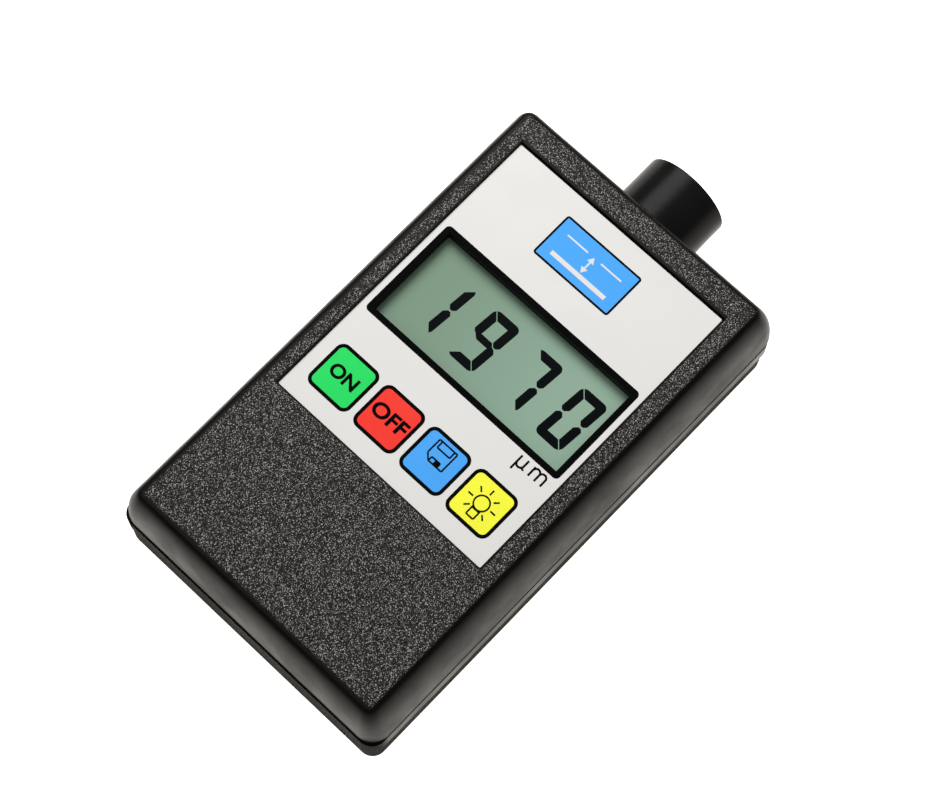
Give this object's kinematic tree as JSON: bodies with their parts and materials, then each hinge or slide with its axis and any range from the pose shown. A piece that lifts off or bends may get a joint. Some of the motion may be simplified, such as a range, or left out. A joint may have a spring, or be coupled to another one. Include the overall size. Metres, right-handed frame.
{
  "type": "coating thickness gauge",
  "caption": "Handheld coating thickness gauge: black case with a display, membrane keys, a sliding battery door and a round end probe",
  "frame": {"origin": "centre of the footprint, on the back face that the gauge lies on", "axes": "+X to the right across the face, +Y along the case towards the probe, +Z out of the display side"},
  "size_m": [0.0644, 0.1178, 0.0254],
  "materials": {
    "case_black": "fine spark-eroded texture on the face, satin on the walls",
    "faceplate_film": "printed film, very fine matt grain",
    "display_glass": "polarised glass over a grey-green reflector",
    "display_segments": "switched liquid-crystal segments behind the polariser",
    "ink_black": "screen-printed ink on the film",
    "ink_green": "screen-printed key colour, very fine matt grain",
    "ink_red": "screen-printed key colour, very fine matt grain",
    "ink_blue": "screen-printed key and panel colour, very fine matt grain",
    "ink_yellow": "screen-printed key colour, very fine matt grain",
    "tinned_pins": "bright tin plate",
    "backlight_white": "moulded light guide with a pale diffuser",
    "board_green": "solder mask over glass laminate",
    "component_black": "moulded black casings",
    "capacitor_sleeve": "shrunk sleeve on an aluminium can",
    "screw_steel": "zinc-plated steel",
    "probe_black": "polished black, turned lines at the rim",
    "core_steel": "turned and lapped",
    "former_white": "moulded nylon",
    "winding_copper": "fine enamelled copper wire",
    "battery_jacket": "plain dark jacket, bright ends",
    "snap_vinyl": "soft vinyl",
    "lead_red": "insulated wire",
    "lead_black": "insulated wire",
    "lead_white": "insulated wire",
    "plunger_grey": "moulded plunger"
  },
  "bodies": {
    "case": {"front_shell": "case_black", "rear_shell": "case_black", "faceplate": "faceplate_film", "display_glass": "display_glass", "display_pins": "tinned_pins", "backlight_panel": "backlight_white", "circuit_board": "board_green", "on_switch": "component_black", "off_switch": "component_black", "calibrate_switch": "component_black", "light_switch": "component_black", "controller_chip": "component_black", "quartz_crystal": "tinned_pins", "voltage_regulator": "component_black", "filter_capacitors": "capacitor_sleeve", "buzzer": "component_black", "case_screws": "screw_steel", "board_screws": "screw_steel", "probe_sleeve": "probe_black", "sensor_core": "core_steel", "coil_former": "former_white", "coil_winding": "winding_copper", "probe_plug": "component_black", "probe_lead_left": "lead_white", "probe_lead_right": "lead_white", "battery": "battery_jacket", "snap_contacts": "tinned_pins", "battery_snap": "snap_vinyl", "battery_lead_red": "lead_red", "battery_lead_black": "lead_black"},
    "door": {"battery_door": "case_black"},
    "on_key": {"on_plunger": "plunger_grey"},
    "off_key": {"off_plunger": "plunger_grey"},
    "calibrate_key": {"calibrate_plunger": "plunger_grey"},
    "light_key": {"light_plunger": "plunger_grey"}
  },
  "joints": [
    {"name": "battery_door_slide", "type": "slide", "parent": "case", "child": "door", "axis": [0, -1, 0], "range_m": [0, 0.012]},
    {"name": "on_press", "type": "slide", "parent": "case", "child": "on_key", "axis": [0, 0, -1], "range_m": [0, 0.00025], "stiffness_N_per_m": 1600},
    {"name": "off_press", "type": "slide", "parent": "case", "child": "off_key", "axis": [0, 0, -1], "range_m": [0, 0.00025], "stiffness_N_per_m": 1600},
    {"name": "calibrate_press", "type": "slide", "parent": "case", "child": "calibrate_key", "axis": [0, 0, -1], "range_m": [0, 0.00025], "stiffness_N_per_m": 1600},
    {"name": "light_press", "type": "slide", "parent": "case", "child": "light_key", "axis": [0, 0, -1], "range_m": [0, 0.00025], "stiffness_N_per_m": 1600}
  ]
}
